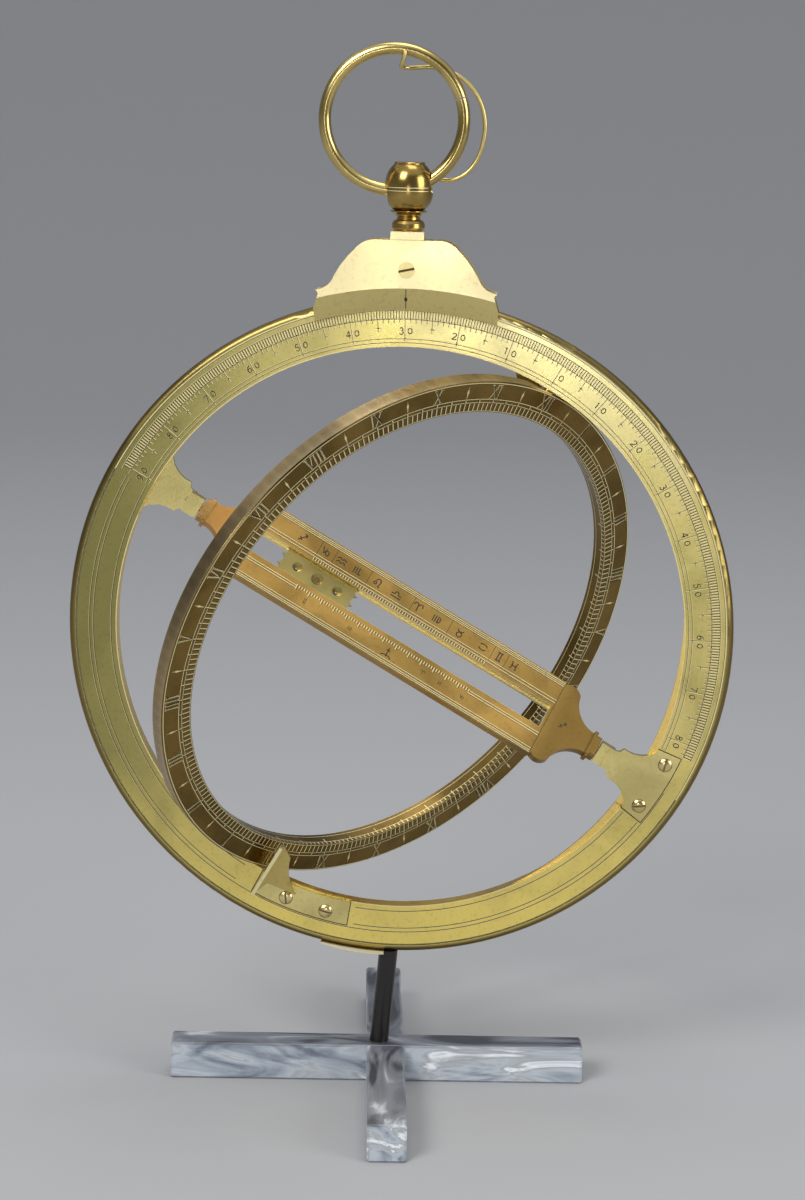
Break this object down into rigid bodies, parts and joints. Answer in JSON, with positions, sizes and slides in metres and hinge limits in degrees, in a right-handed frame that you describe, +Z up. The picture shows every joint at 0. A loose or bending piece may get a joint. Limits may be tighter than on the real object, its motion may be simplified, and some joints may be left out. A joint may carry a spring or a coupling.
{
  "type": "universal equinoctial ring dial",
  "caption": "Portable brass sundial of nested rings with a turning slotted bridge, sliding cursor and latitude shackle, on a small cross-shaped display stand.",
  "frame": {"origin": "middle of the bounding box on the surface the stand rests on, straight under the dial's centre", "axes": "+Z up; the engraved front of the meridian ring faces -Y; +X to the right seen from the front, so the north pole bracket is up on the left"},
  "size_m": [0.229, 0.1664, 0.3596],
  "materials": {
    "meridian_brass": "aged lacquered brass, fine engraved scales",
    "hour_brass": "darker olive-brown brass, silvery on its rim",
    "bridge_brass": "polished, slightly green",
    "red_brass": "polished, orange tarnish",
    "brass": "polished, worn edges",
    "screw_brass": "polished with slotted heads",
    "shackle_brass": "bright polished faces, brushed lower band",
    "swivel_brass": "turned and polished, browner",
    "ring_brass": "drawn wire, polished",
    "wire_brass": "drawn wire, dull",
    "spring_brass": "rolled strip",
    "cradle_brass": "pale gold, satin",
    "rod_black": "gloss black",
    "bar_paint": "grey and white marbled paint over wood"
  },
  "bodies": {
    "stand": {"stand_bar_long": "bar_paint", "stand_bar_cross": "bar_paint", "stand_rod": "rod_black", "stand_cradle": "cradle_brass"},
    "meridian": {"meridian_ring": "meridian_brass", "south_pole_bracket": "brass", "north_pole_bracket": "brass", "front_stop_bracket": "brass", "back_stop_bracket": "brass", "pole_bracket_screws": "screw_brass", "stop_bracket_screws": "screw_brass", "hour_ring_pivots": "screw_brass"},
    "equinoctial": {"hour_ring": "hour_brass"},
    "bridge_body": {"bridge": "bridge_brass", "bridge_spindles": "red_brass"},
    "cursor": {"cursor_plate": "bridge_brass", "cursor_back_plate": "red_brass", "cursor_screw": "screw_brass"},
    "shackle": {"shackle_front_cheek": "shackle_brass", "shackle_back_cheek": "shackle_brass", "shackle_spacer": "shackle_brass", "shackle_spring": "spring_brass", "shackle_screw": "screw_brass"},
    "swivel": {"swivel_foot": "swivel_brass", "swivel_stem": "swivel_brass", "swivel_ball": "swivel_brass", "swivel_cap": "swivel_brass"},
    "eye": {"suspension_ring": "ring_brass", "ring_prop_wire": "wire_brass"}
  },
  "joints": [
    {"name": "dial_lift", "type": "slide", "parent": "stand", "child": "meridian", "axis": [0, 0, 1], "range_m": [0, 0.06]},
    {"name": "hour_ring_hinge", "type": "hinge", "parent": "meridian", "child": "equinoctial", "pos_m": [0, 0, 0.161], "axis": [0.5, 0, 0.866], "range_deg": [-42.9, 44.1]},
    {"name": "bridge_turn", "type": "hinge", "parent": "meridian", "child": "bridge_body", "pos_m": [0, 0, 0.161], "axis": [0.866, 0, -0.5], "continuous": true},
    {"name": "cursor_slide", "type": "slide", "parent": "bridge_body", "child": "cursor", "axis": [0.866, 0, -0.5], "range_m": [-0.009, 0.075]},
    {"name": "shackle_slide", "type": "hinge", "parent": "meridian", "child": "shackle", "pos_m": [0, 0, 0.161], "axis": [0, 1, 0], "range_deg": [-60, 30]},
    {"name": "swivel_turn", "type": "hinge", "parent": "shackle", "child": "swivel", "pos_m": [0, 0, 0.2974], "axis": [0, 0, 1], "continuous": true},
    {"name": "ring_swing", "type": "hinge", "parent": "swivel", "child": "eye", "pos_m": [0, 0, 0.3116], "axis": [0.972, 0, 0.2351], "range_deg": [-95, 95]}
  ]
}
